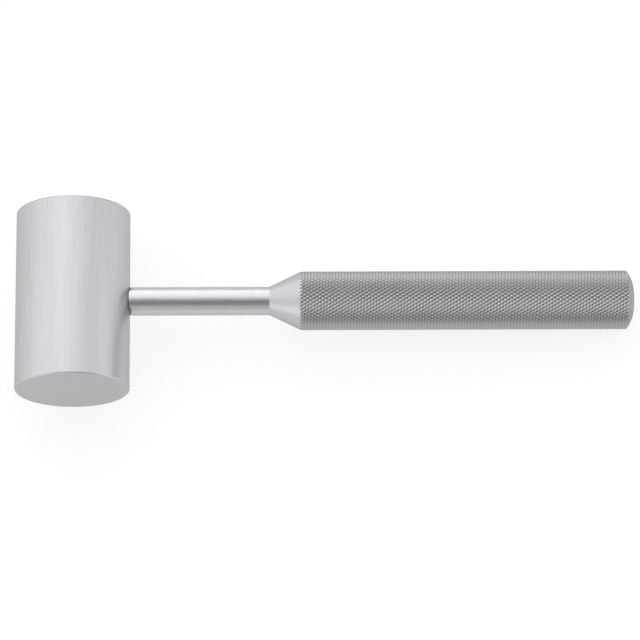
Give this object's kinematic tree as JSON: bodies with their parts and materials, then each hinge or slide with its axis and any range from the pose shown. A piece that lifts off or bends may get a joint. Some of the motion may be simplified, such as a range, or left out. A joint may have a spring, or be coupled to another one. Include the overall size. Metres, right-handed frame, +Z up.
{
  "type": "surgical mallet",
  "caption": "Surgical mallet: solid round steel head with two flat striking faces, on a slim neck and a diamond-knurled grip with a rounded end.",
  "frame": {"origin": "middle of the mallet's outline seen from above, on the surface that it lies on", "axes": "+X from the head towards the end of the handle, +Y along the head towards one striking face, +Z up"},
  "size_m": [0.2162, 0.065, 0.04],
  "materials": {
    "head_steel": "satin, turned",
    "handle_steel": "polished neck, satin cone, knurled grip"
  },
  "bodies": {
    "root": {"head": "head_steel", "handle": "handle_steel"}
  },
  "joints": []
}
